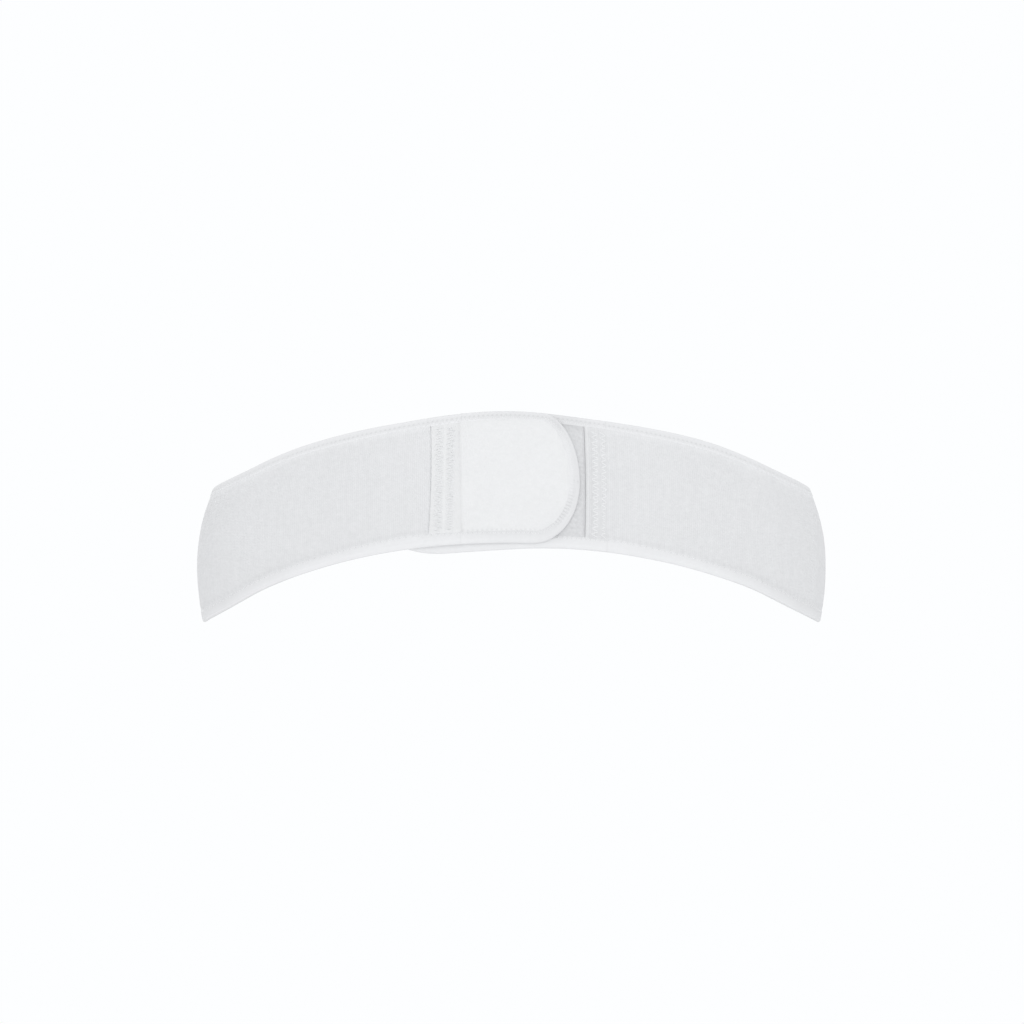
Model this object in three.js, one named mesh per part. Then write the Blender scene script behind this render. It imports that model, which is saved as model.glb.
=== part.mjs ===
// Chest compression band: an elastic loop with bound edges, worn round the chest and closed in front
// by a rounded hook-and-loop tab that lies over a landing tab.
//
// Millimetres, +Z up. The wearer faces -Y and X runs across the chest. The origin is the middle of the
// chest, level with the middle of the band's front.
//
// Each piece is made flat and then wrapped round the chest. Its flat frame is
//   run    distance along the band from the closure tab's tip, round the chest, to the landing tab's tip
//   up     height above the band's bottom edge
//   depth  distance outward from the chest

import * as THREE from 'three';
import { mergeVertices } from 'three/addons/utils/BufferGeometryUtils.js';

const { euclideanModulo, lerp, smoothstep } = THREE.MathUtils;

// The chest that the band is stretched round, as seen from above
const CHEST_HALF_WIDTH = 185.5;
const CHEST_HALF_DEPTH = 102;
const CHEST_FULLNESS = 0.15; // how far the chest fills out between its front and its sides
const CHEST_LINE_DIVISIONS = 2000;

// The band's two edges: height in the middle of the front and back, fall from there to the sides, shape of
// that fall along the front and along the back, how far the edge tucks in, and shape of that tuck
const TOP_EDGE = { middle: 38.7, fall: 43.7, front: 1.85, back: 2.4, tuck: 10, bend: 2 };
const BOTTOM_EDGE = { middle: -38.0, fall: 47.5, front: 2.37, back: 3.2, tuck: 3.5, bend: 2 };
const BELLY = 0.43; // share of the width, from the bottom, at which the wall stands out furthest

// Places along the front, from its centre line: positive to the right as the band is seen from the front
const TAB_TIP = 39.4;
const TAB_SEWN_EDGE = -46.9;
const BAND_LEFT_END = -29.0; // under the tab's sewn margin
const BAND_RIGHT_END = 41.9; // on top of the landing tab's root
const LANDING_ROOT = 55.2;
const LANDING_TIP = -70;
const TAB_CORNER = 30;
const LANDING_CORNER = 27;

// How much lower the bottom edge hangs on the landing side, from under the right arm to the tip
const LANDING_SAG = [
  { place: 185, sag: 0 },
  { place: 120, sag: 2 },
  { place: 15, sag: 2 },
  { place: -45, sag: 4.3 },
];

// Layers
const CLOTH = 1.5;
const PRESSED_CLOTH = 1.0; // a layer that is sewn flat under another
const SEWN_MARGIN = 0.9;
const TAPE = 0.5;
const SEAT = 0.25; // clearance between two layers that touch
const LAYER_GAP = 0.3; // clearance between the closure side and the landing side
const TOP_BINDING = 5.0;
const TIP_BINDING = 5.2;
const BOTTOM_BINDING = 7.5;
const FOLD = 0.6; // thickness of the tape where it folds round an edge
const CLOTH_INSET = FOLD + 0.4; // from the folded edge of the tape to the edge of the cloth inside it

// The patch of hooks inside the closure tab
const HOOK_LEFT = -22;
const HOOK_RIGHT = 24;
const HOOK_MARGIN = 15;

// How finely the pieces are cut
const STATION = 10;
const CLOTH_ROWS = 9;
const ROW_CROWDING = 0.35; // rows lie closer together near the edges, where the wall curves most
const CORNER_STEPS = 6;
const TIP_STEPS = 3;

// The line round the chest that the inside of the band follows, starting at the front
class ChestLine extends THREE.Curve {
  getPoint(t, target = new THREE.Vector3()) {
    const angle = 2 * Math.PI * t;
    const side = Math.sin(angle);
    const filled = 1 + CHEST_FULLNESS * side * side;
    return target.set(CHEST_HALF_WIDTH * side, -CHEST_HALF_DEPTH * Math.cos(angle) * filled, 0);
  }
}

const chestLine = new ChestLine();
chestLine.arcLengthDivisions = CHEST_LINE_DIVISIONS;
const CHEST_LENGTH = chestLine.getLength();

// The run of a place along the front: the band's start passes it first, its end one turn later
const startRun = (place) => TAB_TIP - place;
const endRun = (place) => TAB_TIP - place + CHEST_LENGTH;

const TAB_EDGE_RUN = startRun(TAB_SEWN_EDGE);
const BAND_START = startRun(BAND_LEFT_END);
const BAND_END = endRun(BAND_RIGHT_END);
const LANDING_START = endRun(LANDING_ROOT);
const LANDING_END = endRun(LANDING_TIP);

// Short ramps where one layer climbs over another
const RAMP = 3.5;
const LIFT_START = startRun(LANDING_TIP) + RAMP;
const LIFT_END = LIFT_START + 50;

// How much lower the bottom edge hangs at a run
function sagAt(run) {
  return LANDING_SAG.slice(1).reduce((total, { place, sag }, row) => {
    const last = LANDING_SAG[row];
    return total + (sag - last.sag) * smoothstep(run, endRun(last.place), endRun(place));
  }, 0);
}

// How far the wall tucks in at a share of its height, which is below 0 where the bottom edge sags
function tuckAt(share) {
  if (share < BELLY) return BOTTOM_EDGE.tuck * ((BELLY - share) / BELLY) ** BOTTOM_EDGE.bend;
  return TOP_EDGE.tuck * ((share - BELLY) / (1 - BELLY)) ** TOP_EDGE.bend;
}

// The height of an edge of the band over a point of the chest line
function edgeHeight(edge, { x, y }) {
  const power = y < 0 ? edge.front : edge.back;
  return edge.middle - edge.fall * (Math.abs(x) / CHEST_HALF_WIDTH) ** power;
}

// The chest line at a run, with the heights of the band's edges there
function chestAt(run) {
  const turn = euclideanModulo((TAB_TIP - run) / CHEST_LENGTH, 1);
  const point = chestLine.getPointAt(turn);
  const tangent = chestLine.getTangentAt(turn);
  return {
    point,
    outward: new THREE.Vector3(tangent.y, -tangent.x, 0),
    top: edgeHeight(TOP_EDGE, point),
    bottom: edgeHeight(BOTTOM_EDGE, point),
    sag: sagAt(run),
  };
}

function bandWidth(run) {
  const { top, bottom, sag } = chestAt(run);
  return top - bottom + sag;
}

// A point of the flat frame, wrapped round the chest
function wrap(run, up, depth) {
  const { point, outward, top, bottom, sag } = chestAt(run);
  const share = (up - sag) / (top - bottom);
  return point.addScaledVector(outward, depth - tuckAt(share)).setZ(bottom - sag + up);
}

// Depths of the layers along the band
const CLOTH_FLOOR = TAPE + SEAT;
const BOUND_THICKNESS = CLOTH + 2 * CLOTH_FLOOR;
const CLOSURE_LIFT = BOUND_THICKNESS + LAYER_GAP;
const TAB_CLIMB = PRESSED_CLOTH + SEAT;
const ROOT_CLIMB = SEWN_MARGIN + SEAT;

const floorAt = (run) => CLOTH_FLOOR + CLOSURE_LIFT * (1 - smoothstep(run, LIFT_START, LIFT_END));
const tabClimb = (run) => smoothstep(run, BAND_START - RAMP, BAND_START - SEAT);
const rootClimb = (run) => smoothstep(run, LANDING_START - 2 * RAMP, LANDING_START - SEAT);

const elastic = {
  inner: (run) => floorAt(run) + ROOT_CLIMB * rootClimb(run),
  outer(run) {
    const thickness = lerp(PRESSED_CLOTH, CLOTH, smoothstep(run, TAB_EDGE_RUN + SEAT, TAB_EDGE_RUN + RAMP));
    return elastic.inner(run) + thickness;
  },
};
const closureTab = {
  inner: (run) => floorAt(run) + TAB_CLIMB * tabClimb(run),
  outer: (run) => closureTab.inner(run) + lerp(CLOTH, SEWN_MARGIN, tabClimb(run)),
};
const landingTab = {
  inner: () => CLOTH_FLOOR,
  outer: (run) => CLOTH_FLOOR + lerp(SEWN_MARGIN, CLOTH, smoothstep(run, BAND_END + SEAT, BAND_END + RAMP)),
};
const hookPatch = {
  inner: (run) => landingTab.outer(run + CHEST_LENGTH) + LAYER_GAP,
  outer: (run) => closureTab.inner(run) - LAYER_GAP,
};

// What the binding tape folds round: one layer, or two where they are lapped
const bandStack = {
  inner: elastic.inner,
  outer: (run) => (run <= TAB_EDGE_RUN ? closureTab.outer(run) : elastic.outer(run)),
};
const landingStack = {
  inner: landingTab.inner,
  outer: (run) => (run <= BAND_END ? elastic.outer(run) : landingTab.outer(run)),
};

// Runs at which every piece has a cut, so that layers stay parallel
const LAP_CUTS = [
  BAND_START - RAMP, BAND_START - SEAT, BAND_START, TAB_EDGE_RUN, TAB_EDGE_RUN + RAMP,
  LANDING_START - 2 * RAMP, LANDING_START - RAMP, LANDING_START - SEAT, LANDING_START,
  BAND_END, BAND_END + RAMP,
];

function cutsBetween(from, to) {
  const even = Array.from({ length: Math.ceil(LANDING_END / STATION) }, (_, i) => i * STATION);
  const clear = even.filter((run) => LAP_CUTS.every((cut) => Math.abs(cut - run) > STATION / 4));
  const inside = [...clear, ...LAP_CUTS].filter((run) => run > from + SEAT / 2 && run < to - SEAT / 2);
  return [from, ...inside, to].sort((a, b) => a - b);
}

// How far an outline with round corners stands in from the band's edge, at a distance from its tip
function cornerInset(fromTip, radius) {
  if (fromTip >= radius) return 0;
  const across = radius - fromTip;
  return radius - Math.sqrt(radius * radius - across * across);
}

function cornerCuts(radius, inset) {
  const round = radius - inset;
  return Array.from({ length: CORNER_STEPS }, (_, i) => {
    return radius - round * Math.cos((i / CORNER_STEPS) * (Math.PI / 2));
  });
}

// A closed geometry from a flat one: each corner goes where place puts it
function bend(flat, place) {
  flat.deleteAttribute('normal');
  flat.deleteAttribute('uv');
  const geometry = mergeVertices(flat);
  geometry.clearGroups();
  const corners = geometry.getAttribute('position');
  const corner = new THREE.Vector3();
  for (let i = 0; i < corners.count; i += 1) {
    const placed = place(corner.fromBufferAttribute(corners, i));
    corners.setXYZ(i, placed.x, placed.y, placed.z);
  }
  geometry.computeVertexNormals();
  return geometry;
}

const crowdRow = (share) => share - (ROW_CROWDING * Math.sin(2 * Math.PI * share)) / (2 * Math.PI);

// A strip of cloth between two layer depths: cuts are its runs, and marginAt is how far it stands in
// from the band's bottom and top edges at a run
function cloth({ cuts, layer, marginAt }) {
  const columns = cuts.length - 1;
  const flat = new THREE.BoxGeometry(1, 1, 1, columns, CLOTH_ROWS, 1);
  return bend(flat, ({ x, y, z }) => {
    const run = cuts[columns - Math.round((x + 0.5) * columns)];
    const up = lerp(marginAt(run), bandWidth(run) - marginAt(run), crowdRow(y + 0.5));
    return wrap(run, up, z > 0 ? layer.outer(run) : layer.inner(run));
  });
}

// The folded tape's section. Across: 0 the folded edge, 1 inside the fold, 2 the tape's own edge.
// Through: 1 and -1 the faces next to the cloth, 2 and -2 the faces outside.
const TAPE_SECTION = new THREE.Shape(
  [[2, 1], [2, 2], [0.7, 2], [0, 0.9], [0, -0.9], [0.7, -2], [2, -2], [2, -1], [1, -1], [1, 1]]
    .map(([across, through]) => new THREE.Vector2(across, through)),
);

function tapeDepth(through, inner, outer) {
  if (through >= 1) return outer + SEAT + (through - 1) * TAPE;
  if (through <= -1) return inner - SEAT + (through + 1) * TAPE;
  return lerp(inner - SEAT, outer + SEAT, (through + 1) / 2);
}

// Binding tape along a rim, which is a row of places: each has its run, its height, the direction
// that leads inward from the edge, and the tape's width
function binding(rim, stack) {
  const steps = rim.length - 1;
  const flat = new THREE.ExtrudeGeometry(TAPE_SECTION, { depth: steps, steps, bevelEnabled: false });
  return bend(flat, ({ x: across, y: through, z }) => {
    const { run, up, inRun, inUp, width } = rim[Math.round(z)];
    const inward = across < 1 ? across * FOLD : FOLD + (across - 1) * (width - FOLD);
    const at = run + inward * inRun;
    return wrap(at, up + inward * inUp, tapeDepth(through, stack.inner(at), stack.outer(at)));
  });
}

const bottomRim = (runs) => runs.map((run) => {
  return { run, up: 0, inRun: 0, inUp: 1, width: BOTTOM_BINDING };
});
const topRim = (runs) => runs.map((run) => {
  return { run, up: bandWidth(run), inRun: 0, inUp: -1, width: TOP_BINDING };
});

// The rim round a tip with round corners, from the bottom edge, round the tip, to the top edge.
// runAt gives the run at a distance from the tip, and towards is the sign that leads away from it.
function tipRim(runAt, towards, radius, runs) {
  const point = (fromTip, up, inTip, inUp, width) => {
    return { run: runAt(fromTip), up, inRun: towards * inTip, inUp, width };
  };
  const corner = Array.from({ length: CORNER_STEPS + 1 }, (_, i) => (i / CORNER_STEPS) * (Math.PI / 2));
  const lower = corner.map((angle) => {
    const [sin, cos] = [Math.sin(angle), Math.cos(angle)];
    const width = lerp(BOTTOM_BINDING, TIP_BINDING, angle / (Math.PI / 2));
    return point(radius * (1 - sin), radius * (1 - cos), sin, cos, width);
  });
  const tip = Array.from({ length: TIP_STEPS - 1 }, (_, i) => {
    return point(0, lerp(radius, bandWidth(runAt(0)) - radius, (i + 1) / TIP_STEPS), 1, 0, TIP_BINDING);
  });
  const upper = corner.toReversed().map((angle) => {
    const [sin, cos] = [Math.sin(angle), Math.cos(angle)];
    const width = lerp(TOP_BINDING, TIP_BINDING, angle / (Math.PI / 2));
    const fromTip = radius * (1 - sin);
    return point(fromTip, bandWidth(runAt(fromTip)) - radius * (1 - cos), sin, -cos, width);
  });
  return [...bottomRim(runs.toReversed()), ...lower, ...tip, ...upper, ...topRim(runs)];
}

// Finishes
const finish = (color, roughness) => new THREE.MeshStandardMaterial({ color, roughness, metalness: 0 });
const knit = finish('#e6e7e9', 0.9);
const plush = finish('#eeeff1', 0.95);
const loopPile = finish('#d9dbde', 0.95);
const tape = finish('#ecedef', 0.8);
const hooks = finish('#e4e5e7', 0.6);

// Pieces
function roundMargin(fromTip, radius) {
  return CLOTH_INSET + cornerInset(fromTip - CLOTH_INSET, radius - CLOTH_INSET);
}

const elasticBand = cloth({
  cuts: cutsBetween(BAND_START, BAND_END),
  layer: elastic,
  marginAt: () => CLOTH_INSET,
});

const closureTabCloth = cloth({
  cuts: [...cornerCuts(TAB_CORNER, CLOTH_INSET), ...cutsBetween(TAB_CORNER, TAB_EDGE_RUN)],
  layer: closureTab,
  marginAt: (run) => roundMargin(run, TAB_CORNER),
});

const landingTabCloth = cloth({
  cuts: [
    ...cutsBetween(LANDING_START, LANDING_END - LANDING_CORNER),
    ...cornerCuts(LANDING_CORNER, CLOTH_INSET).map((fromTip) => LANDING_END - fromTip).toReversed(),
  ],
  layer: landingTab,
  marginAt: (run) => roundMargin(LANDING_END - run, LANDING_CORNER),
});

const hookPatchCloth = cloth({
  cuts: cutsBetween(startRun(HOOK_RIGHT), startRun(HOOK_LEFT)),
  layer: hookPatch,
  marginAt: () => HOOK_MARGIN,
});

const bandRuns = cutsBetween(BAND_START, LANDING_START - LAYER_GAP);
const tabRuns = cutsBetween(TAB_CORNER, BAND_START - LAYER_GAP).slice(1);
const landingRuns = cutsBetween(LANDING_START, LANDING_END - LANDING_CORNER).slice(0, -1);

const tabRim = tipRim((fromTip) => fromTip, 1, TAB_CORNER, tabRuns);
const landingRim = tipRim((fromTip) => LANDING_END - fromTip, -1, LANDING_CORNER, landingRuns.toReversed());

const band = new THREE.Group();

function add(name, geometry, material) {
  const mesh = new THREE.Mesh(geometry, material);
  mesh.name = name;
  band.add(mesh);
}

add('elastic_band', elasticBand, knit);
add('closure_tab', closureTabCloth, plush);
add('landing_tab', landingTabCloth, loopPile);
add('hook_patch', hookPatchCloth, hooks);
add('top_binding', binding(topRim(bandRuns), bandStack), tape);
add('bottom_binding', binding(bottomRim(bandRuns.toReversed()), bandStack), tape);
add('tab_binding', binding(tabRim, closureTab), tape);
add('landing_binding', binding(landingRim.toReversed(), landingStack), tape);

export default band;
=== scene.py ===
import math

import bpy
import numpy as np
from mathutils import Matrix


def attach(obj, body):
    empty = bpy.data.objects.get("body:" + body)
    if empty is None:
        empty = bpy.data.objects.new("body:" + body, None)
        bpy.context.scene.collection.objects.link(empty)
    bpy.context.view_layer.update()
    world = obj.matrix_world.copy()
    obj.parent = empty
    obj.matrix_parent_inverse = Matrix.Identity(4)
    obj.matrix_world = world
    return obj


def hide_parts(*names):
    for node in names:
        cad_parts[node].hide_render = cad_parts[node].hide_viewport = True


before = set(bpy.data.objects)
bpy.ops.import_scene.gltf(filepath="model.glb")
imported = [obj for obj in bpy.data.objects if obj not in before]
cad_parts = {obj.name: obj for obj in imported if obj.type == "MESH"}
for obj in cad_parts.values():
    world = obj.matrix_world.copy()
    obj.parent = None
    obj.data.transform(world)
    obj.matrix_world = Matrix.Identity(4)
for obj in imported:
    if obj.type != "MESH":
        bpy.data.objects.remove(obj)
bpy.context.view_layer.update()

METRE = 0.001
SEED = 7
CHANCE = np.random.default_rng(SEED)
SCENE = bpy.context.scene

# The part's driving dimensions
CHEST_HALF_WIDTH = 185.5
CHEST_HALF_DEPTH = 102.0
CHEST_FULLNESS = 0.15
TOP_EDGE = {"middle": 38.7, "fall": 43.7, "front": 1.85, "back": 2.4, "tuck": 10.0}
BOTTOM_EDGE = {"middle": -38.0, "fall": 47.5, "front": 2.37, "back": 3.2, "tuck": 3.5}
BELLY = 0.43
TAB_TIP = 39.4
TAB_SEWN_EDGE = -46.9
BAND_LEFT_END = -29.0
BAND_RIGHT_END = 41.9
LANDING_ROOT = 55.2
LANDING_TIP = -70.0
LANDING_CORNER = 27.0
LANDING_SAG = [(185.0, 0.0), (120.0, 2.0), (15.0, 2.0), (-45.0, 4.3)]
CLOTH = 1.5
PRESSED_CLOTH = 1.0
SEWN_MARGIN = 0.9
TAPE = 0.5
SEAT = 0.25
LAYER_GAP = 0.3
TOP_BINDING = 5.0
BOTTOM_BINDING = 7.5
CLOTH_INSET = 1.0
RAMP = 3.5
LIFT_REACH = 50.0

# How the cloth settles on the chest away from the part's plain edges, by the place across the front
TOP_SETTLE = [
    (-163.0, 14.0, -0.6), (-125.0, 30.0, 0.94), (-60.0, 26.0, -0.68),
    (45.0, 34.0, -1.37), (120.0, 26.0, 1.14), (163.0, 14.0, -0.3),
]
BOTTOM_SETTLE = [
    (-167.0, 16.0, -1.18), (-95.0, 40.0, -0.4), (0.0, 34.0, 0.39), (85.0, 45.0, -0.52), (164.0, 18.0, -2.0),
]
SETTLE_FADE = (-10.0, 30.0)
LANDING_SETTLE = (-5.0, 32.0, 1.3)
LAP_SETTLE = 0.5
TIP_RUN = 0.3

# Corners of the tabs' tips, below and above: reach along the band and up or down the tip
TAB_CORNERS = ((27.0, 37.0), (20.5, 37.5))
LANDING_CORNERS = ((32.0, 16.0), (LANDING_CORNER, LANDING_CORNER))

# Texture of the cloth
RIB = 1.2
RIB_HEIGHT = 0.1
RIB_PROFILE = np.array([0.0, 0.8, 1.0, 0.8])
THREAD = 0.19

# Hems: width of the tape, the two rows between which the zigzag runs, and its period
BOTTOM_HEM = {"width": BOTTOM_BINDING, "near": 5.3, "far": 7.2, "stitch": 2.75}
TIP_HEM = {"width": 6.2, "near": 2.2, "far": 5.7, "stitch": 2.3}
TOP_HEM = {"width": TOP_BINDING, "near": 2.4, "far": 4.7, "stitch": 2.65}
BAND_TOP_HEM = {"width": 5.2, "near": 2.7, "far": 5.0, "stitch": 2.8}
SIDE_TOP_HEM = {"width": 6.0, "near": 3.4, "far": 5.7, "stitch": 2.8}
BAND_BOTTOM_HEM = BOTTOM_HEM | {"stitch": 3.7}
WIDE_BOTTOM_HEM = {"width": 8.3, "near": 5.9, "far": 7.9, "stitch": 3.7}
SIDE_STRETCH = 0.35

# Changes by the distance from the middle of the front: start and end, or middle and spread
OFF_CENTRE = (50.0, 105.0)
TOWARD_SIDE = (115.0, 150.0)
FAR_SIDE = (145.0, 172.0)
BESIDE_CLOSURE = (62.0, 20.0)

# The chest line, by its angle from the front
CHEST_STEPS = 20000
ANGLES = np.linspace(0, 2 * np.pi, CHEST_STEPS + 1)


def chest_point(angle):
    side = np.sin(angle)
    filled = 1 + CHEST_FULLNESS * side**2
    return CHEST_HALF_WIDTH * side, -CHEST_HALF_DEPTH * np.cos(angle) * filled


LENGTHS = np.concatenate([[0], np.cumsum(np.hypot(*np.diff(chest_point(ANGLES))))])
CHEST_LENGTH = LENGTHS[-1]


def start_run(place):
    """Run of a place across the front, at the closure tab's end."""
    return TAB_TIP - place


def end_run(place):
    """Run of a place across the front, at the landing tab's end."""
    return TAB_TIP - place + CHEST_LENGTH


TAB_EDGE_RUN = start_run(TAB_SEWN_EDGE)
BAND_START = start_run(BAND_LEFT_END)
BAND_END = end_run(BAND_RIGHT_END) - LAP_SETTLE
LANDING_START = end_run(LANDING_ROOT)
LANDING_END = end_run(LANDING_TIP)
LIFT_START = start_run(LANDING_TIP) + RAMP
LIFT_END = LIFT_START + LIFT_REACH


def smooth(x, start, end):
    t = np.clip((x - start) / (end - start), 0, 1)
    return t * t * (3 - 2 * t)


def past(x, edge, span):
    """From 0 to 1 over a span of distances past an edge."""
    start, end = span
    return smooth(x, edge + start, edge + end)


def bell(x, place, spread):
    return np.exp(-(((x - place) / spread) ** 2))


def hump(x, place, spread, amount):
    return amount * bell(x, place, spread)


def mix(a, b, share):
    return a + (b - a) * share


def sag_at(run):
    """How far the cloth hangs below the plain bottom edge, towards the landing tab's tip."""
    total = np.zeros_like(run, dtype=float)
    for (place, sag), (further, lower) in zip(LANDING_SAG, LANDING_SAG[1:]):
        total += (lower - sag) * smooth(run, end_run(place), end_run(further))
    middle, spread, drop = LANDING_SETTLE
    return total + hump(run, end_run(middle), spread, drop)


def edge_height(edge, settle, x, y):
    power = np.where(y < 0, edge["front"], edge["back"])
    plain = edge["middle"] - edge["fall"] * (np.abs(x) / CHEST_HALF_WIDTH) ** power
    front = smooth(-y, *SETTLE_FADE)
    return plain + front * sum(hump(x, *wave) for wave in settle)


def chest_at(run):
    """Point, outward direction, and top and bottom of the band, at each run."""
    angle = np.interp(np.mod(TAB_TIP - run, CHEST_LENGTH), LENGTHS, ANGLES)
    x, y = chest_point(angle)
    side, front = np.sin(angle), np.cos(angle)
    along_x = CHEST_HALF_WIDTH * front
    along_y = CHEST_HALF_DEPTH * side * (1 + CHEST_FULLNESS * (side**2 - 2 * front**2))
    long = np.hypot(along_x, along_y)
    top = edge_height(TOP_EDGE, TOP_SETTLE, x, y)
    bottom = edge_height(BOTTOM_EDGE, BOTTOM_SETTLE, x, y)
    return x, y, along_y / long, -along_x / long, top, bottom


def band_width(run):
    run = np.asarray(run, float)
    *_, top, bottom = chest_at(run)
    return top - bottom + sag_at(run)


def from_middle(run):
    """Distance across the chest from the middle of the front, or of the back."""
    x, *_ = chest_at(np.asarray(run, float))
    return np.abs(x)


def off_centre(run):
    """From 0 in the middle of the front and back to 1 towards the arms."""
    return smooth(from_middle(run), *OFF_CENTRE)


def toward_side(run):
    """From 0 in front and behind to 1 under the arms."""
    return smooth(from_middle(run), *TOWARD_SIDE)


def far_side(run):
    """From 0 in front and behind to 1 at the ends of what shows from the front."""
    return smooth(from_middle(run), *FAR_SIDE)


def beside_closure(run):
    """1 on both sides of the closure, and behind those places, falling to 0 elsewhere."""
    return bell(from_middle(run), *BESIDE_CLOSURE)


def hem_between(first, second, share):
    return {key: mix(first[key], second[key], share) for key in first}


def band_top_hem(run):
    return hem_between(BAND_TOP_HEM, SIDE_TOP_HEM, off_centre(run))


def band_bottom_hem(run):
    return hem_between(BAND_BOTTOM_HEM, WIDE_BOTTOM_HEM, beside_closure(run))


def tuck_at(share):
    """How far the band's wall leans in towards its edges, at a share of its height."""
    low = BOTTOM_EDGE["tuck"] * (np.clip(BELLY - share, 0, None) / BELLY) ** 2
    high = TOP_EDGE["tuck"] * (np.clip(share - BELLY, 0, None) / (1 - BELLY)) ** 2
    return low + high


def wrap(run, up, depth):
    """Points of the flat frame, wrapped round the chest, in millimetres."""
    run, up, depth = np.broadcast_arrays(*(np.asarray(a, float) for a in (run, up, depth)))
    x, y, out_x, out_y, top, bottom = chest_at(run)
    sag = sag_at(run)
    out = depth - tuck_at((up - sag) / (top - bottom))
    return np.stack([x + out_x * out, y + out_y * out, bottom - sag + up], axis=-1)


# Depths of the layers along the band
CLOTH_FLOOR = TAPE + SEAT
CLOSURE_LIFT = CLOTH + 2 * CLOTH_FLOOR + LAYER_GAP
TAB_CLIMB = PRESSED_CLOTH + SEAT
ROOT_CLIMB = SEWN_MARGIN + SEAT


def floor_at(run):
    return CLOTH_FLOOR + CLOSURE_LIFT * (1 - smooth(run, LIFT_START, LIFT_END))


def tab_climb(run):
    return smooth(run, BAND_START - RAMP, BAND_START - SEAT)


def elastic_inner(run):
    return floor_at(run) + ROOT_CLIMB * smooth(run, LANDING_START - 2 * RAMP, LANDING_START - SEAT)


def tab_inner(run):
    return floor_at(run) + TAB_CLIMB * tab_climb(run)


def tab_outer(run):
    return tab_inner(run) + mix(CLOTH, SEWN_MARGIN, tab_climb(run))


def landing_inner(run):
    return np.full_like(run, CLOTH_FLOOR, dtype=float)


def landing_outer(run):
    return CLOTH_FLOOR + mix(SEWN_MARGIN, CLOTH, smooth(run, BAND_END + SEAT, BAND_END + RAMP))


# Layers as they are seen, which settle together more than the part's plain solids do
SLOT_PILE = 3.4
DITCH = 0.6
SLIVER_LIFT = 0.6
TIP_PRESS = 0.7
TIP_PRESS_REACH = 9.0
# Edges that aren't cut quite straight: start, slope and curve of how far they stand off
SEWN_EDGE_BOW = (1.1, -8.4, 7.3)
PLUSH_EDGE_BOW = (-2.0, 0.0, 2.4)
# Steps between layers: spans of distances past the edge of the cloth that ends there
SEWN_STEP = (0.1, 1.0)
LAP_STEP = (-0.1, 0.2)
DITCH_FILL = (0.5, 1.6)
SLOT_FALL = (15.4, 17.2)
SLOT_HEM_FALL = (6.5, 17.5)
TAPE_STEP_START = -0.05


def bowed(bow, share):
    start, slope, curve = bow
    return start + slope * share + curve * share**2


def sewn_edge(share):
    """Run of the closure tab's sewn edge at a share of the band's height."""
    return TAB_EDGE_RUN + bowed(SEWN_EDGE_BOW, share)


def elastic_seen(run, share):
    free = past(run, sewn_edge(share), SEWN_STEP)
    return elastic_inner(run) + mix(PRESSED_CLOTH, CLOTH, free)


def lap_seen(run):
    """The elastic's outside at its lapped end."""
    return elastic_inner(run) + CLOTH


def tab_seen(run):
    pressed = 1 - smooth(run, TIP_RUN, TIP_RUN + TIP_PRESS_REACH)
    return tab_outer(np.minimum(run, TAB_EDGE_RUN)) - TIP_PRESS * pressed


def landing_level(run):
    """The landing tab stands up in the slot beside the closure tab's tip."""
    raised = past(run, BAND_END, LAP_STEP) * (1 - past(run, BAND_END, SLOT_FALL))
    return mix(landing_outer(run), SLOT_PILE, raised)


def landing_hem_level(run):
    """What the landing tab's tape lies on, down from the slot to under the closure tab."""
    covered = past(run, BAND_END, SLOT_HEM_FALL)
    return mix(SLOT_PILE, landing_outer(run) + SLIVER_LIFT, covered)


def lap_ditch(run):
    """From 0 to 1 in the ditch along the end of the elastic that is lapped over the landing tab."""
    return past(run, BAND_END, LAP_STEP) * (1 - past(run, BAND_END, DITCH_FILL))


def band_stack(run, share, ramp):
    """What the band's tape lies on: the closure tab's margin, then the elastic."""
    over = past(run, sewn_edge(share), (TAPE_STEP_START, ramp))
    return mix(tab_seen(run), elastic_seen(run, share), over)


def tab_stack(run, share, ramp):
    """What the closure tab's tape lies on: the tab alone."""
    return tab_seen(run)


def landing_stack(run, share, ramp):
    """What the landing tab's tape lies on: the elastic's lapped end, then the landing tab."""
    over = past(run, BAND_END, (TAPE_STEP_START, ramp))
    return mix(elastic_seen(np.minimum(run, BAND_END), share), landing_hem_level(run), over)


# Soft unevenness, the same in every run of the script
WAVE_LENGTHS = (0.7, 1.5)


def waves(x, y, height, length, count, seed):
    """A smooth random field of about that height, whose waves are about that length."""
    chance = np.random.default_rng(seed)
    total = np.zeros(np.broadcast(x, y).shape)
    for _ in range(count):
        turn, phase = chance.uniform(0, 2 * np.pi, 2)
        pace = 2 * np.pi / (length * chance.uniform(*WAVE_LENGTHS))
        total += np.sin(pace * (x * math.cos(turn) + y * math.sin(turn)) + phase)
    return height * (total / math.sqrt(count / 2))


# Meshes
SHARP_ANGLE = 75.0
FLAT_UNIT = 100.0


def add_object(name, data):
    made = bpy.data.objects.new(name, data)
    SCENE.collection.objects.link(made)
    return made


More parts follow.
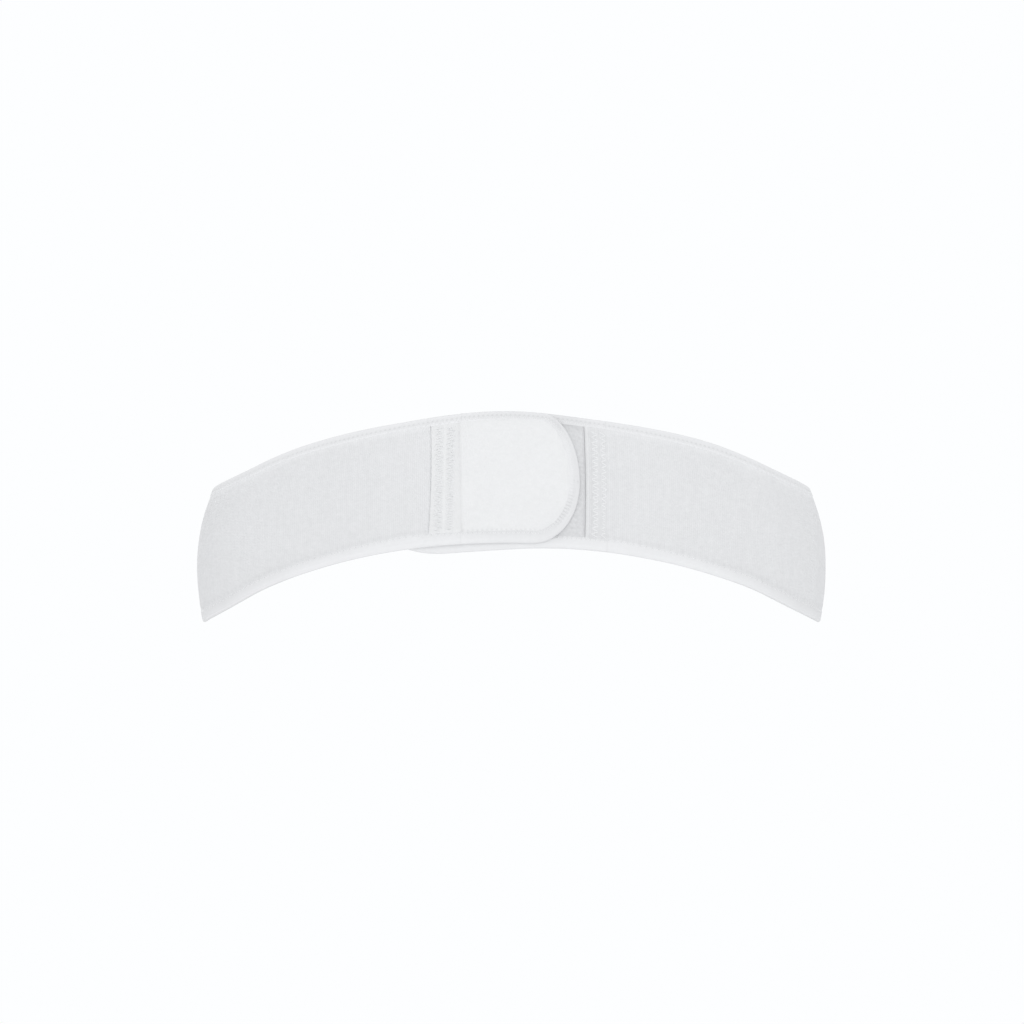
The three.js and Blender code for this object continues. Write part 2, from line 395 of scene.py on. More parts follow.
def add_piece(name, points, faces, flat, shade, material):
    """A mesh piece, from points in millimetres, with its flat place and its shade."""
    mesh = bpy.data.meshes.new(name)
    mesh.from_pydata((points * METRE).tolist(), [], faces)
    mesh.polygons.foreach_set("use_smooth", np.ones(len(mesh.polygons), bool))
    mesh.set_sharp_from_angle(angle=math.radians(SHARP_ANGLE))
    corner = np.empty(len(mesh.loops), np.int32)
    mesh.loops.foreach_get("vertex_index", corner)
    place = (flat[corner] / FLAT_UNIT).astype(np.float32)
    mesh.uv_layers.new(name="flat").data.foreach_set("uv", place.ravel())
    tone = mesh.color_attributes.new("shade", "FLOAT_COLOR", "POINT")
    tone.data.foreach_set("color", np.repeat(shade[:, None], 4, 1).astype(np.float32).ravel())
    mesh.materials.append(material)
    mesh.update()
    piece = add_object(name, mesh)
    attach(piece, "root")
    return piece


def quads_of(index):
    """Faces between the rows and columns of a grid of vertex numbers."""
    return np.stack([index[:-1, :-1], index[1:, :-1], index[1:, 1:], index[:-1, 1:]], -1).reshape(-1, 4)


def add_cloth(name, runs, ups, outer, inner_rows, inner, shade, material):
    """A closed strip of cloth from grids of rows by columns, with inner_rows on its inside."""
    runs, ups, outer, inner = np.broadcast_arrays(runs, ups, outer, inner)
    seen = np.stack([runs, ups, outer], -1)
    hidden = np.stack([runs, ups, inner], -1)[inner_rows]
    places = np.concatenate([seen.reshape(-1, 3), hidden.reshape(-1, 3)])
    tone = np.concatenate([np.broadcast_to(shade, ups.shape).ravel(), np.ones(hidden[..., 0].size)])
    out = np.arange(ups.size).reshape(ups.shape)
    back = out.size + np.arange(hidden[..., 0].size).reshape(hidden.shape[:2])
    rims = [np.stack([back[0], out[0]]), np.stack([out[-1], back[-1]])]
    quads = np.concatenate([quads_of(grid) for grid in (out, back[::-1], *rims)])
    ends = [[*out[::-1, 0], *back[:, 0]], [*out[:, -1], *back[::-1, -1]]]
    faces = quads.tolist() + [[int(i) for i in end] for end in ends]
    return add_piece(name, wrap(*places.T), faces, places[:, :2], tone, material)


def corner_inset(from_tip, along, up):
    """How far a tip's outline stands in from the band's edge, at a distance from the tip."""
    across = np.clip(1 - from_tip / along, 0, 1)
    return up * (1 - np.sqrt(1 - across**2))


def cloth_rows(from_tip, corners, width, count):
    """Heights of the rows of a tab's cloth, which stands in from the outline of its tip."""
    low, high = (
        CLOTH_INSET + corner_inset(from_tip - CLOTH_INSET, along - CLOTH_INSET, up - CLOTH_INSET)
        for along, up in corners
    )
    return mix(low, width - high, np.linspace(0, 1, count)[:, None])


# Materials
# Noise in the cloth: scale and detail
FINE_NOISE = (1400.0, 3.0)
MOTTLE_NOISE = (350.0, 3.0)
CLOUD_NOISE = (70.0, 2.0)
# How much each adds to the tone, the mottle as a share of the grain
MOTTLE_SHARE = 1.35
CLOUD_TONE = 0.03
STREAK_TONE = 0.015
KNIT_LOOP = 0.9
CLOTH_ROUGHENING = 0.12
CLOTH_SHINE = {"Specular IOR Level": 0.25, "Sheen Roughness": 0.5}
CLOTH_BUMP = {"distance": 0.0002, "strength": 0.6}
HOOK_COLOUR = (0.74, 0.744, 0.752)
HOOK_SCALE = 700.0
HOOK_TONE = 0.15
HOOK_ROUGHNESS = 0.6
HOOK_ROUGHENING = 0.2
HOOK_BUMP = {"distance": 0.0004, "strength": 1.0}


class Shader:
    """A node material in the making, which the methods add nodes and values to."""

    def __init__(self, name):
        self.material = bpy.data.materials.new(name)
        self.material.use_nodes = True
        self.tree = self.material.node_tree
        self.surface = self.tree.nodes["Principled BSDF"]

    def put(self, socket, value):
        if isinstance(value, bpy.types.NodeSocket):
            self.tree.links.new(value, socket)
        elif value is not None:
            socket.default_value = value

    def node(self, kind, *inputs, out=0, **settings):
        made = self.tree.nodes.new(kind)
        for key, value in settings.items():
            setattr(made, key, value)
        for socket, value in zip(made.inputs, inputs):
            self.put(socket, value)
        return made.outputs[out]

    def math(self, operation, *values):
        return self.node("ShaderNodeMath", *values, operation=operation)

    def spread(self, value, amount, middle=0.5):
        """A value from 0 to 1, moved and scaled to lie round zero."""
        return self.math("MULTIPLY", self.math("SUBTRACT", value, middle), amount)

    def wave(self, place, pitch):
        return self.math("SINE", self.math("MULTIPLY", place, 2 * math.pi / pitch))

    def own_place(self):
        return self.node("ShaderNodeTexCoord", out="Object")

    def noise(self, scale, detail):
        return self.node("ShaderNodeTexNoise", self.own_place(), None, scale, detail)

    def plain(self, values):
        for name, value in values.items():
            self.surface.inputs[name].default_value = value

    def paint(self, colour, tone):
        painted = self.node("ShaderNodeVectorMath", colour, operation="SCALE")
        self.put(painted.node.inputs["Scale"], tone)
        self.put(self.surface.inputs["Base Color"], painted)

    def bump(self, height, distance, strength):
        node = self.tree.nodes.new("ShaderNodeBump")
        node.inputs["Strength"].default_value = strength
        node.inputs["Distance"].default_value = distance
        self.put(node.inputs["Height"], height)
        self.put(self.surface.inputs["Normal"], node.outputs[0])


def fabric(name, colour, roughness, sheen, grain, relief, loops=0.0):
    """Cloth with fine grain and cloudy tone, and knitted loops along its ribs where loops isn't 0."""
    s = Shader(name)
    fine, cloud, mottle = s.noise(*FINE_NOISE), s.noise(*CLOUD_NOISE), s.noise(*MOTTLE_NOISE)
    tone = s.math("ADD", s.spread(fine, grain), s.spread(cloud, CLOUD_TONE))
    tone = s.math("ADD", tone, s.spread(mottle, MOTTLE_SHARE * grain))
    height = s.math("MULTIPLY", fine, relief)
    if loops:
        flat = s.node("ShaderNodeSeparateXYZ", s.node("ShaderNodeUVMap", uv_map="flat")).node.outputs
        run, up = s.math("MULTIPLY", flat[0], FLAT_UNIT), s.math("MULTIPLY", flat[1], FLAT_UNIT)
        rib = s.math("FLOOR", s.math("DIVIDE", run, RIB))
        streak = s.node("ShaderNodeTexWhiteNoise", None, rib, noise_dimensions="1D")
        tone = s.math("ADD", tone, s.spread(streak, STREAK_TONE))
        shifted = s.math("ADD", up, s.math("MULTIPLY", s.math("MODULO", rib, 2.0), KNIT_LOOP / 2))
        height = s.math("ADD", height, s.math("MULTIPLY", s.wave(shifted, KNIT_LOOP), loops))
    # Each piece's painted light and shade, from its shade attribute, scales its colour
    shade = s.node("ShaderNodeAttribute", out="Fac", attribute_name="shade")
    s.paint(colour, s.math("MULTIPLY", s.math("ADD", tone, 1.0), shade))
    rough = s.math("ADD", s.spread(fine, CLOTH_ROUGHENING), roughness)
    s.put(s.surface.inputs["Roughness"], rough)
    s.plain(CLOTH_SHINE | {"Sheen Weight": sheen})
    s.bump(height, **CLOTH_BUMP)
    return s.material


def hook_tape():
    s = Shader("hook_tape")
    hooks = s.node("ShaderNodeTexVoronoi", s.own_place(), None, HOOK_SCALE)
    s.paint(HOOK_COLOUR, s.math("ADD", s.spread(hooks, HOOK_TONE), 1.0))
    rough = s.math("ADD", s.spread(hooks, HOOK_ROUGHENING), HOOK_ROUGHNESS)
    s.put(s.surface.inputs["Roughness"], rough)
    s.bump(hooks, **HOOK_BUMP)
    return s.material


KNIT = fabric(
    "ribbed_knit", (0.727, 0.7295, 0.7385), roughness=0.9, sheen=0.05, grain=0.078, relief=0.5, loops=0.4
)
PLUSH = fabric("plush", (0.755, 0.758, 0.763), roughness=0.92, sheen=0.2, grain=0.045, relief=0.8)
# The pile is greyer than the other cloth: partly its own tone, partly painted shade of the slot it shows in
PILE = fabric("looped_pile", (0.64, 0.643, 0.652), roughness=0.92, sheen=0.1, grain=0.09, relief=1.2)
TAPES = fabric("binding_tape", (0.763, 0.765, 0.774), roughness=0.85, sheen=0.05, grain=0.03, relief=0.4)
YARN = fabric("thread", (0.80, 0.804, 0.811), roughness=0.7, sheen=0.05, grain=0.03, relief=0.2)


# Elastic
RIB_COLUMNS = RIB_PROFILE.size
RIB_CHANCE = (0.85, 1.15)
RIB_UNDER_TAPE = 0.25
HEM_ROWS = np.array([-1.9, -0.4, 0.2, 1.1, 2.7])
MIDDLE_ROWS = 8
KNIT_INSIDE = [0, 2, 4, 6, 8, 9, 10, 11, 13, 15, 17, 19]
# Relief past the inner edge of a hem, by its start and end
KNIT_BARE = (-0.6, 1.0)
LINING_BARE = (-0.6, 0.4)
SHOULDERS = ((0.14, (-1.2, 0.0)), (0.1, (0.0, 4.0)))
# Waves of the stretched cloth, and where they start and end
KNIT_WAVES = (0.14, 42.0, 9, 3)
WAVES_START = (1.0, 14.0)
WAVES_END = (-14.0, 0.0)
# The swollen lower corner beside the sewn edge
SEAM_SWELL = 0.45
SEAM_SWELL_START = (-0.05, 0.1)
SEAM_SWELL_FADE = (0.3, 2.0)
# The cut end that is lapped over the landing tab, by distance from it
CUT_SWELL = (1.4, 0.8, 0.25)
CUT_ROUND = (0.0, 0.45, -0.5)
# Painted highlight along the rim of the cut end
CUT_HIGHLIGHT = (1.2, 0.9, 0.05)
# Painted shade of the lap's ground between its zigzag threads, from a span about its root, and of its seam
# by the place across the front: columns of painted shade and painted highlight, as on stitches lit from one
# side
LAP_SHADE = -0.037
LAP_SPAN = (-0.8, 0.8)
LAP_LIT_COLUMNS = ((46.7, 1.5, -0.03), (49.3, 0.6, 0.025), (53.0, 0.6, 0.02))
# Painted shade between the ribs and towards the arms, and by distance from the inner edge of a hem: a
# painted highlight below the top hem, painted shade above the bottom hem and at its stitch dashes, and
# towards the arms more painted shade above the bottom hem and a painted highlight below the top hem
RIB_VALLEY_SHADE = -0.035
OFF_CENTRE_SHADE = -0.007
HIGH_HEM_HIGHLIGHT = (0.6, 1.5, 0.035)
LOW_HEM_SHADE = (0.5, 1.2, -0.008)
KNIT_DASH_SHADE = (0.8, 0.8, -0.04)
SIDE_LOW_SHADE = (1.0, 2.5, -0.03)
SIDE_HIGH_HIGHLIGHT = (1.6, 1.4, 0.02)


def hem_rows_at(hem_width):
    """Distances of rows from an edge: one under the fold, and more about the tape's inner edge."""
    return np.concatenate([np.full((1, hem_width.size), CLOTH_INSET), hem_width + HEM_ROWS[:, None]])


def rows_between(width, low, high, count):
    """Heights of rows: some above the bottom, some below the top, and even ones between."""
    share = np.linspace(0, 1, count + 2)[1:-1, None]
    between = mix(low[-1], width - high[-1], share)
    return np.concatenate([low, between, width - high[::-1]])


def dashes_along(runs, hem):
    """From 0 to 1 and back for each stitch of a hem that starts at the band's left end."""
    return np.sin(np.pi * (runs - BAND_START) / hem["stitch"]) ** 2


# Painted light and shade over the knit, multiplied together
def elastic_painted_shade(runs, rib, bare, from_bottom, from_top):
    side = toward_side(runs)
    changes = [
        RIB_VALLEY_SHADE * (1 - rib) * bare,
        hump(from_top, *HIGH_HEM_HIGHLIGHT) + hump(from_bottom, *LOW_HEM_SHADE),
        LAP_SHADE * past(runs, LANDING_START, LAP_SPAN),
        hump(BAND_END - runs, *CUT_HIGHLIGHT),
        sum(hump(runs, end_run(place), *column) for place, *column in LAP_LIT_COLUMNS),
        OFF_CENTRE_SHADE * off_centre(runs) * (1 - side),
        dashes_along(runs, BAND_BOTTOM_HEM) * hump(from_bottom, *KNIT_DASH_SHADE),
        side * (1 - far_side(runs)) * hump(from_bottom, *SIDE_LOW_SHADE),
        side * hump(from_top, *SIDE_HIGH_HIGHLIGHT),
    ]
    return math.prod(1 + change for change in changes)


def make_elastic():
    ribs = round((BAND_END - BAND_START) / RIB)
    column = np.arange(RIB_COLUMNS * ribs + 1)
    runs = np.linspace(BAND_START, BAND_END, column.size)
    width = band_width(runs)
    bottom_width, top_width = band_bottom_hem(runs)["width"], band_top_hem(runs)["width"]
    ups = rows_between(width, hem_rows_at(bottom_width), hem_rows_at(top_width), MIDDLE_ROWS)
    from_bottom, from_top = ups - bottom_width, width - ups - top_width
    hem = np.minimum(from_bottom, from_top)
    bare = smooth(hem, *KNIT_BARE)
    from_end = BAND_END - runs

    rib = RIB_PROFILE[column % RIB_COLUMNS]
    ridges = rib * RIB_HEIGHT * CHANCE.uniform(*RIB_CHANCE, ribs + 1)[column // RIB_COLUMNS]
    shoulder = sum(rise * smooth(hem, *span) for rise, span in SHOULDERS)
    loose = past(runs, TAB_EDGE_RUN, WAVES_START) * (1 - past(runs, BAND_END, WAVES_END))
    uneven = waves(runs, ups, *KNIT_WAVES) * loose
    cut_edge = hump(from_end, *CUT_SWELL) + hump(from_end, *CUT_ROUND)
    relief = ridges * mix(RIB_UNDER_TAPE, 1.0, bare) + shoulder + (uneven + cut_edge) * bare
    seam = sewn_edge(ups / width)
    beside_seam = past(runs, seam, SEAM_SWELL_START) * (1 - past(runs, seam, SEWN_STEP))
    swell = SEAM_SWELL * beside_seam * (1 - smooth(from_bottom, *SEAM_SWELL_FADE))
    outer = elastic_seen(runs, ups / width) + relief + swell
    inner = elastic_inner(runs) + ridges * smooth(hem, *LINING_BARE)

    shade = elastic_painted_shade(runs, rib, bare, from_bottom, from_top)
    piece = add_cloth("band_knit", runs, ups, outer, KNIT_INSIDE, inner, shade, KNIT)
    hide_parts("elastic_band")
    return piece


# Closure tab
GROOVE = start_run(-30.2)
PLUSH_START = start_run(-28.6)
SEAM_RIDGE = start_run(-38.75)
TAB_STEP = 0.4
TAB_ROWS = 121
TAB_INSIDE = slice(None, None, 5)
CORNER_COLUMNS = 40
PLUSH_BARE = (-0.8, 0.8)
GROOVE_SPAN = (-0.4, 0.4)
LEAN_START = PLUSH_START + 1.0
# The plush: its nap, its pillow between the hems, and the knotted border of its cut edge
NAP = ((0.035, 1.5, 14, 5), (0.05, 5.0, 10, 6))
PILLOW_WAVES = (0.1, 26.0, 8, 8)
PILLOW_LOW = 0.12
PILLOW_RISE = 0.33
PILLOW_SPAN = (-0.5, 2.2)
BORDER_LINE = PLUSH_START - 0.9
BORDER_SPREAD = 0.8
BORDER_HEIGHT = 0.2
KNOT_HEIGHT = 0.15
KNOT_PITCH = 2.5
# The sewn margin: rough cloth, the ridge between its seams and the groove beside the plush
MARGIN_WAVES = (0.05, 2.2, 10, 9)
RIDGE = (SEAM_RIDGE, 0.7, 0.14)
GROOVE_DIP = (GROOVE, 0.8, -0.4)
# Painted shade over the sewn margin between its stitches and in the groove, and a painted highlight on the
# ridge
MARGIN_SHADE = 0.962
GROOVE_SHADE = (GROOVE, 1.2, -0.025)
RIDGE_HIGHLIGHT = (SEAM_RIDGE, 0.6, 0.03)
# The line above the bottom hem: place and spread, a painted highlight, and painted shade at its stitch
# dashes
HEM_LINE = (BOTTOM_BINDING + 0.2, 0.8)
TAB_HEM_HIGHLIGHT = 0.03
TAB_HEM_DASH_SHADE = 0.1


def tip_runs(corners, reach, step):
    """Distances from a tip: close together round the corners, then even."""
    round_reach = max(along for along, _ in corners)
    corner = round_reach - (round_reach - CLOTH_INSET) * np.cos(np.linspace(0, np.pi / 2, CORNER_COLUMNS))
    even = np.linspace(round_reach, reach, round((reach - round_reach) / step) + 1)
    return np.concatenate([corner[:-1], even])


def inside_tape(rim, runs, ups):
    """How far each place lies inside the inner edge of the tape along a rim."""
    away = np.hypot(runs[..., None] - rim["run"], ups[..., None] - rim["up"])
    return away.min(-1) - rim["width"][away.argmin(-1)]


def plush_relief(runs, ups, hem, border_runs):
    nap = sum(waves(runs, ups, *layer) for layer in NAP)
    pillow = PILLOW_LOW + PILLOW_RISE * smooth(hem, *PILLOW_SPAN) + waves(runs, ups, *PILLOW_WAVES)
    knots = (1 + np.cos(2 * np.pi * ups / KNOT_PITCH)) / 2
    border = (BORDER_HEIGHT + KNOT_HEIGHT * knots) * bell(border_runs, BORDER_LINE, BORDER_SPREAD)
    return nap + pillow + border


def margin_relief(runs, ups):
    ribs = RIB_HEIGHT * (1 - np.abs(np.mod(runs / RIB, 1) * 2 - 1))
    return ribs + waves(runs, ups, *MARGIN_WAVES) + hump(runs, *RIDGE)


def make_tab(rim):
    from_tip = tip_runs(TAB_CORNERS, TAB_EDGE_RUN - TIP_RUN, TAB_STEP)
    runs = TIP_RUN + from_tip
    width = band_width(runs)
    ups = cloth_rows(from_tip, TAB_CORNERS, width, TAB_ROWS)
    hem = np.minimum(ups - BOTTOM_BINDING, width - ups - TOP_BINDING)
    hem = np.minimum(hem, inside_tape(rim, np.broadcast_to(runs, ups.shape), ups))
    bare = smooth(hem, *PLUSH_BARE)
    border_runs = runs - bowed(PLUSH_EDGE_BOW, ups / width)
    sewn = past(border_runs, GROOVE, GROOVE_SPAN)

    relief = mix(plush_relief(runs, ups, hem, border_runs), margin_relief(runs, ups), sewn)
    outer = tab_seen(runs) + (relief + hump(border_runs, *GROOVE_DIP)) * bare

    # Painted shade over the margin and groove, a painted highlight on the ridge, and above the bottom hem a
    # painted highlight broken by painted shade at the stitch dashes
    shade = mix(1.0, MARGIN_SHADE, sewn) * (1 + hump(border_runs, *GROOVE_SHADE) * bare)
    shade = shade * (1 + hump(runs, *RIDGE_HIGHLIGHT))
    dashes = dashes_along(runs, BOTTOM_HEM) * (runs < BAND_START)
    shade = shade * (1 + (TAB_HEM_HIGHLIGHT - TAB_HEM_DASH_SHADE * dashes) * bell(ups, *HEM_LINE))

    lean = smooth(runs, LEAN_START, TAB_EDGE_RUN)
    leaning = runs + lean * (sewn_edge(ups / width) - TAB_EDGE_RUN)
    inner = tab_inner(runs)
    piece = add_cloth("tab_plush", leaning, ups, outer, TAB_INSIDE, inner, shade, PLUSH)
    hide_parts("closure_tab")
    return piece


# Landing tab
LANDING_STEP = 0.7
LANDING_ROWS = 101
PILE_INSIDE = slice(None, None, 4)
DITCH_COLUMNS = np.array([-0.1, 0.05, 0.2, 0.4, 0.7, 1.0, 1.3, 1.6])
PILE_BARE = (-0.6, 0.8)
PILE_OUT_OF_LAP = (-0.2, 1.0)
PILE_SETTLE = (0.0, 6.0)
LOOPS = ((0.07, 1.8, 14, 11), (0.05, 6.0, 8, 12))
LOOP_TONE = (0.025, 2.4, 12, 13)
# Trenches beside the hems, and painted shade along the top one, by distance from the inner edge of the tape
TOP_TRENCH = (1.3, 0.9, 0.4)
BOTTOM_TRENCH = (0.6, 0.6, 0.12)
TRENCH_SHADE = (1.4, 0.9, -0.06)
DITCH_AT_HEM = 0.3
DITCH_SPAN = (0.0, 3.0)


def make_landing():
    even = LANDING_END - tip_runs(LANDING_CORNERS, LANDING_END - LANDING_START, LANDING_STEP)
    runs = np.sort(np.concatenate([even, BAND_END + DITCH_COLUMNS]))
    width = band_width(runs)
    ups = cloth_rows(LANDING_END - runs, LANDING_CORNERS, width, LANDING_ROWS)
    from_top, from_bottom = width - ups - TOP_BINDING, ups - BOTTOM_BINDING
    hem = np.minimum(from_bottom, from_top)
    bare = smooth(hem, *PILE_BARE) * past(runs, BAND_END, PILE_OUT_OF_LAP)

    level = landing_level(runs)
    level = mix(np.minimum(level, landing_hem_level(runs)), level, smooth(hem, *PILE_SETTLE))
    loops = sum(waves(runs, ups, *layer) for layer in LOOPS)
    in_ditch = lap_ditch(runs)
    trench = (hump(from_top, *TOP_TRENCH) + hump(from_bottom, *BOTTOM_TRENCH)) * (1 - in_ditch)
    ditch = DITCH * in_ditch * mix(DITCH_AT_HEM, 1.0, smooth(hem, *DITCH_SPAN))
    outer = level + loops * bare - trench - ditch

    # Random tone of the loops, and painted shade along the trench below the top hem
    shade = (1 - waves(runs, ups, *LOOP_TONE) * bare) * (1 + hump(from_top, *TRENCH_SHADE))
    inner = landing_inner(runs)
    piece = add_cloth("landing_pile", runs, ups, outer, PILE_INSIDE, inner, shade, PILE)
    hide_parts("landing_tab")
    return piece


# Rims: rows of places along the edges that the tape is folded over
STITCH_STEPS = 4
HALF_STITCH = STITCH_STEPS // 2
FINE_STEPS = 8001
CORNER_STEPS = 400
TIP_MIDDLE = 0.5


def rim_row(run, up, in_run, in_up, top, hem):
    """run and up give the edge, in_run and in_up the way in from it, and top is 1 along the top edge."""
    row = {"run": run, "up": up, "in_run": in_run, "in_up": in_up, "top": top}
    row |= {key: hem[key] for key in ("width", "near", "far")}
    size = np.size(run)
    return {key: np.broadcast_to(np.asarray(value, float), size) for key, value in row.items()}


def join_rims(*rims):
    return {key: np.concatenate([rim[key] for rim in rims]) for key in rims[0]}


def even_steps(start, end, hem):
    """Even steps from a start to an end, about STITCH_STEPS to a stitch of the hem."""
    step = hem["stitch"] / STITCH_STEPS
    return np.linspace(start, end, max(2, round(abs(end - start) / step)) + 1)


def sewn_steps(start, end, hem, side_stretch):
    """Runs a step apart, with the hem's stitches stretched by that share under the arms."""
    fine = np.linspace(start, end, FINE_STEPS)
    pace = STITCH_STEPS / (hem["stitch"] * (1 + side_stretch * toward_side(fine)))
    count = np.concatenate([[0], np.cumsum((pace[1:] + pace[:-1]) / 2 * np.diff(fine))])
    return np.interp(np.linspace(0, count[-1], round(count[-1]) + 1), count, fine)


def bottom_rim(runs, hem):
    return rim_row(runs, 0.0, 0.0, 1.0, 0.0, hem)


def top_rim(runs, hem):
    return rim_row(runs, band_width(runs), 0.0, -1.0, 1.0, hem)


def corner_rim(run_at, inward, corner, hem, top):
    """Round one corner of a tip, from the band's edge to the tip."""
    along, up = corner
    fine = np.linspace(0, np.pi / 2, CORNER_STEPS)
    lengths = np.cumsum(np.hypot(np.diff(along * np.sin(fine)), np.diff(up * np.cos(fine))))
    lengths = np.concatenate([[0], lengths])
    angle = np.interp(even_steps(0, lengths[-1], TIP_HEM)[1:], lengths, fine)
    turn = angle / (np.pi / 2)
    runs, rise = run_at(along * (1 - np.sin(angle))), up * (1 - np.cos(angle))
    in_run, in_up = np.sin(angle) / along, np.cos(angle) / up
    long = np.hypot(in_run, in_up)
    ups, in_up = (band_width(runs) - rise, -in_up) if top else (rise, in_up)
    around = hem_between(hem, TIP_HEM, turn)
    return rim_row(runs, ups, inward * in_run / long, in_up / long, mix(top, TIP_MIDDLE, turn), around)


def tip_rim(run_at, inward, corners, reach):
    """From the bottom edge, round the tip of a tab, to the top edge.

    run_at turns a distance from the tip into a run.
    """
    low, high = corners
    below = run_at(even_steps(reach, low[0], BOTTOM_HEM))
    above = run_at(even_steps(high[0], reach, TOP_HEM))
    lower = corner_rim(run_at, inward, low, BOTTOM_HEM, 0.0)
    upper = corner_rim(run_at, inward, high, TOP_HEM, 1.0)
    ups = even_steps(lower["up"][-1], upper["up"][-1], TIP_HEM)[1:-1]
    tip = rim_row(np.full_like(ups, run_at(0.0)), ups, inward, 0.0, TIP_MIDDLE, TIP_HEM)
    upper = {key: value[::-1] for key, value in upper.items()}
    return join_rims(bottom_rim(below, BOTTOM_HEM), lower, tip, upper, top_rim(above, TOP_HEM))


def at_tip(rim):
    """From 0 along the straight edges to 1 at the middle of a tip."""
    return 1 - np.abs(2 * rim["top"] - 1)


def from_ends(rim):
    """Distance along the band from the nearer end of a rim."""
    return np.minimum(np.abs(rim["run"] - rim["run"][0]), np.abs(rim["run"] - rim["run"][-1]))


def inward_of(rim, across):
    """Run and height of the places at a distance inward of a rim."""
    return rim["run"] + across * rim["in_run"], rim["up"] + across * rim["in_up"]


def stitch_turn(rim):
    """Half a turn for every stitch along a rim."""
    return np.pi * (np.arange(rim["run"].size) / STITCH_STEPS)


# Binding tape
TAPE_HEIGHT = 0.42
TAPE_EDGE = 0.05
TAPE_UNDER = 0.02
TAPE_FEATHER = 1.8
EDGE_RAMP = 0.5
FOLD_ROUND = 0.9
FOLD_SQUARE = 0.8
OUTER_ROWS = (1.0, 0.965, 0.9, 0.8, 0.7, 0.6, 0.5, 0.4, 0.3, 0.22)
FOLD_ANGLES = np.linspace(np.pi / 2, -np.pi / 2, 9)
INNER_ROWS = (0.35, 0.7, 1.0)
LINING_ROWS = (0.9, 0.6, 0.2)
# The swell outside the near row of stitches: its place and spread, by that row's distance
SWELL = 0.1
SWELL_PLACE = (0.5, 0.45)
SWELL_SPREAD = (0.3, 0.35)
# The needle's holes, and the long stitches round a tip's lower corner, sunk into the tape and darkened with
# painted shade
NEAR_PIT = 0.68
NEAR_SPREAD = 0.6
PIT_SIDE_LOSS = 0.35
FAR_SPREAD = 0.7
PIT_SHARPNESS = 4
PIT_DEPTH = 0.2
PIT_SHADE = 0.24
BAR_PIT = 0.7
BAR_SHARPNESS = 2
BAR_SPAN = (-0.4, 0.4)
BAR_STRETCH = (0.3, 0.14)
# Painted light and shade by the share of the tape's width, from its edge inward: lit strips and shaded dips
# across the straight hems, and painted shade round a tip where its edge rolls away
BOTTOM_TONE = {0.0: 0.945, 0.13: 0.96, 0.2: 0.99, 0.27: 1.015, 0.4: 0.99, 0.67: 0.96, 0.8: 0.945, 1.0: 0.96}
TOP_TONE = {0.0: 0.985, 0.2: 0.975, 0.4: 0.965, 0.6: 0.95, 0.7: 0.965, 0.8: 0.995, 0.9: 1.03, 1.0: 1.035}
TIP_TONE = {0.0: 0.9, 0.16: 0.925, 0.32: 0.945, 0.48: 0.97, 0.65: 0.99, 0.8: 1.0, 1.0: 1.0}
# Changes of tone along the band, and the shares of the tape's width they come in at: painted shade on the
# bottom tape towards the sides and ends, the bottom tape lighter beside the closure, and painted shade on
# the top tape towards the sides
LOW_SIDE_SHADE = 0.03
LOW_END_SHADE = 0.02
LOW_FRONT_GAIN = 0.025
LOW_FRONT_SHARES = (0.45, 0.65)
HIGH_SIDE_SHADE = 0.012
HIGH_SIDE_SHARES = (0.75, 0.9)
# Painted shade of the fold: on its underside and round a tip, less there than the tape's edge, and below
# towards the sides
FOLD_GAIN = 0.04
FOLD_UNDER_SHADE = 0.975
FOLD_SIDE_SHADE = 0.065
# Tone along a tape: darker away from its ends, and painted shade at a joint and round a tip's upper corner
DIMMING_SPAN = (1.0, 22.0)
JOINT_SHADE = 0.02
JOINT_SPREAD = 0.45
CORNER_SHADE = (0.87, 0.1, -0.05)
TAB_DIMMING = (0.03, 0.03)
LANDING_TAPE = {"dimming": (0.0, 0.06), "joint": 0.05, "tip_tone": {0.0: 1.0, 1.0: 1.0}}


def tone_along(table, share):
    return np.interp(share, list(table), list(table.values()))


def tip_bars(rim, across):
    """The long stitches that show round the lower corner of a tip."""
    sewn = past(across, rim["near"], BAR_SPAN) * (1 - past(across, rim["far"], BAR_SPAN))
    return sewn * np.cos(stitch_turn(rim)) ** BAR_SHARPNESS * bell(rim["top"], *BAR_STRETCH)


def needle_pits(rim, across):
    """From 0 to 1 in the needle's holes, which show in the far row below and in the near row above."""
    turn = stitch_turn(rim)
    near = NEAR_PIT * bell(across, rim["near"], NEAR_SPREAD) * np.cos(turn) ** PIT_SHARPNESS
    near = near * (1 - PIT_SIDE_LOSS * toward_side(rim["run"]))
    far = bell(across, rim["far"], FAR_SPREAD) * np.sin(turn) ** PIT_SHARPNESS
    return mix(far, near, rim["top"]) * (1 - at_tip(rim)) + BAR_PIT * tip_bars(rim, across)


def under_tape(rim, across, stack):
    """Depth of the cloth under a place of the tape."""
    run, up = inward_of(rim, across)
    ramp = mix(RAMP, EDGE_RAMP, np.clip(across / rim["width"], 0, 1) ** 2)
    return stack(run, np.clip(up / band_width(run), 0, 1), ramp)


def feathered(rim, across):
    """From 0 on the full tape to 1 at its thin inner edge."""
    return smooth(across, rim["width"] - TAPE_FEATHER, rim["width"])


def scaled(line, value):
    """A value on a line, which is given by its start and slope."""
    start, slope = line
    return slope * value + start


def tape_top(rim, across, stack):
    """Depth of the tape's outside, feathered at its inner edge and pulled down by the stitches."""
    near = rim["near"]
    swell = SWELL * bell(across, scaled(SWELL_PLACE, near), scaled(SWELL_SPREAD, near))
    height = mix(TAPE_HEIGHT + swell, TAPE_EDGE, feathered(rim, across))
    return under_tape(rim, across, stack) + (height - PIT_DEPTH * needle_pits(rim, across))


